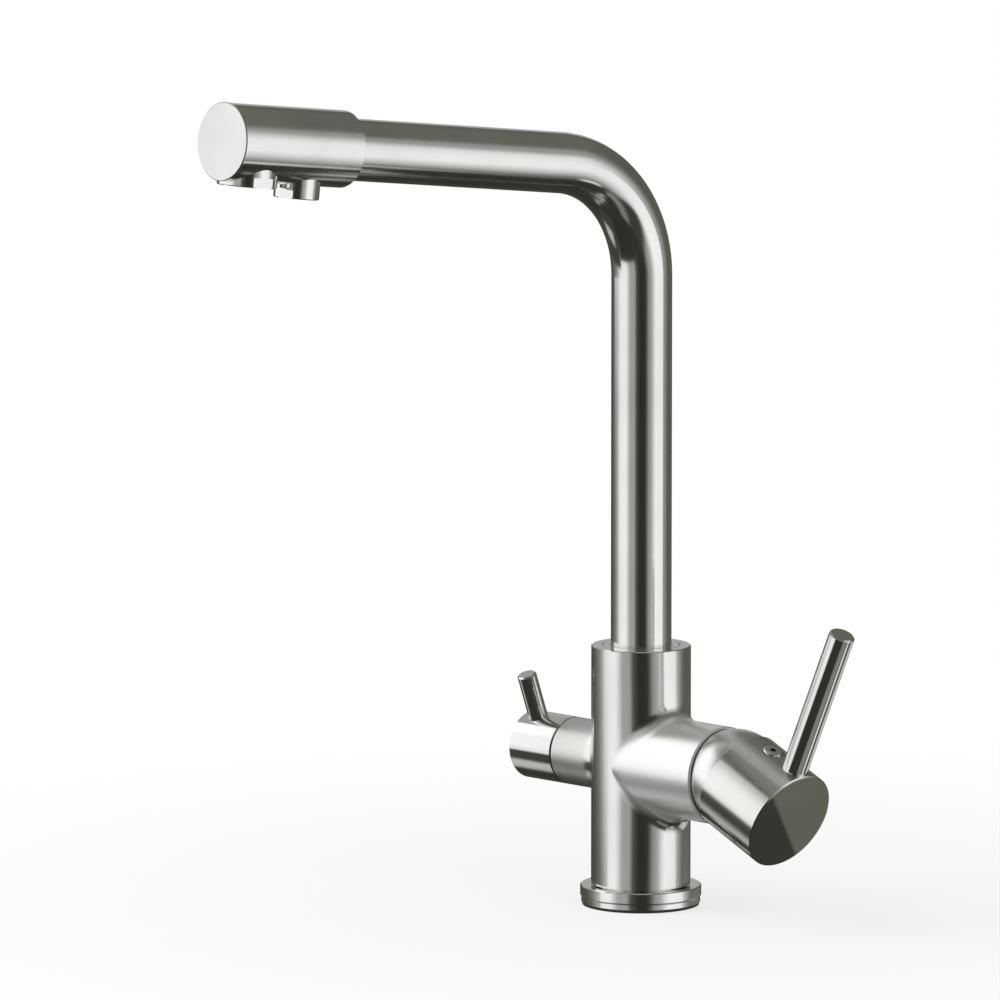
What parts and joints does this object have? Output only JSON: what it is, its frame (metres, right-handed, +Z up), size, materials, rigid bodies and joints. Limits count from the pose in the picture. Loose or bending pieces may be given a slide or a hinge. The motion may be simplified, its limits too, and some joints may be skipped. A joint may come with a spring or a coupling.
{
  "type": "drinking water filter tap",
  "caption": "Kitchen mixer with a swivelling swan neck, separate mains and filtered outlets, a large mixing lever on the right and a small filter valve lever on the left.",
  "frame": {"origin": "centre of the tap's base, on the underside of the deck gasket, which is the worktop's surface", "axes": "+Z up along the column, +X along the mixing branch to the mixing handle, -X to the filter valve, -Y to the front; at rest the spout points to -Y turned 4 degrees towards -X"},
  "size_m": [0.2064, 0.2752, 0.4491],
  "materials": {
    "nickel": "brushed warm nickel",
    "satin_nickel": "satin nickel",
    "polished": "polished",
    "brass": "machined brass",
    "zinc_steel": "zinc plated steel",
    "rubber_black": "black rubber",
    "ceramic": "ground ceramic",
    "cartridge_plastic": "moulded acetal",
    "hose_plastic": "polyethylene tube",
    "insert_plastic": "moulded insert"
  },
  "bodies": {
    "body": {"deck_gasket": "rubber_black", "base_ring": "nickel", "base_flange": "nickel", "body_casting": "nickel", "hot_inlet": "brass", "cold_inlet": "brass", "filter_inlet": "brass", "hot_nipple": "brass", "cold_nipple": "brass", "filter_nipple": "brass", "fixing_stud": "zinc_steel", "rubber_horseshoe": "rubber_black", "steel_horseshoe": "zinc_steel", "long_nut": "brass", "swivel_bush": "nickel", "inner_tube_seal": "rubber_black", "port_seal": "rubber_black", "cartridge_base": "cartridge_plastic", "fixed_disc": "ceramic", "cartridge_housing": "cartridge_plastic", "cartridge_nut": "brass", "escutcheon_dome": "nickel", "valve_headwork": "brass", "valve_fixed_disc": "ceramic"},
    "spout": {"spout_tube": "nickel", "spout_foot": "brass", "spout_seal_1": "rubber_black", "spout_seal_2": "rubber_black", "inner_water_tube": "hose_plastic", "spout_head": "nickel", "end_cap": "satin_nickel", "main_outlet": "polished", "aerator_insert": "insert_plastic", "aerator_washer": "rubber_black", "filter_outlet": "polished", "laminar_insert": "insert_plastic", "laminar_washer": "rubber_black"},
    "mixer_turn": {"cartridge_turret": "cartridge_plastic", "pivot_pin": "zinc_steel"},
    "mixer_disc": {"moving_disc": "ceramic", "disc_carrier": "cartridge_plastic"},
    "mixer_handle": {"lever_stem": "zinc_steel", "handle_barrel": "nickel", "mixer_lever": "nickel", "index_button": "polished", "handle_screw": "zinc_steel"},
    "filter_handle": {"valve_turning_disc": "ceramic", "valve_spindle": "brass", "filter_barrel": "polished", "filter_lever": "nickel", "filter_screw": "zinc_steel"}
  },
  "joints": [
    {"name": "spout_swivel", "type": "hinge", "parent": "body", "child": "spout", "pos_m": [0, 0, 0.11], "axis": [0, 0, 1], "continuous": true},
    {"name": "mixer_temperature", "type": "hinge", "parent": "body", "child": "mixer_turn", "pos_m": [0.0619, 0, 0.0662], "axis": [1, 0, 0], "range_deg": [-45, 45]},
    {"name": "mixer_flow", "type": "hinge", "parent": "mixer_turn", "child": "mixer_handle", "pos_m": [0.0619, 0, 0.0662], "axis": [0, 1, 0], "range_deg": [-24.5, 0]},
    {"name": "mixer_disc_slide", "type": "slide", "parent": "mixer_turn", "child": "mixer_disc", "axis": [0, 0, 1], "range_m": [-0.00373, 0]},
    {"name": "filter_turn", "type": "hinge", "parent": "body", "child": "filter_handle", "pos_m": [-0.0627, 0, 0.0662], "axis": [1, 0, 0], "range_deg": [-20, 70]}
  ],
  "couplings": [
    {"joint": "mixer_disc_slide", "follows": "mixer_flow", "m_per_rad": 0.008728}
  ]
}
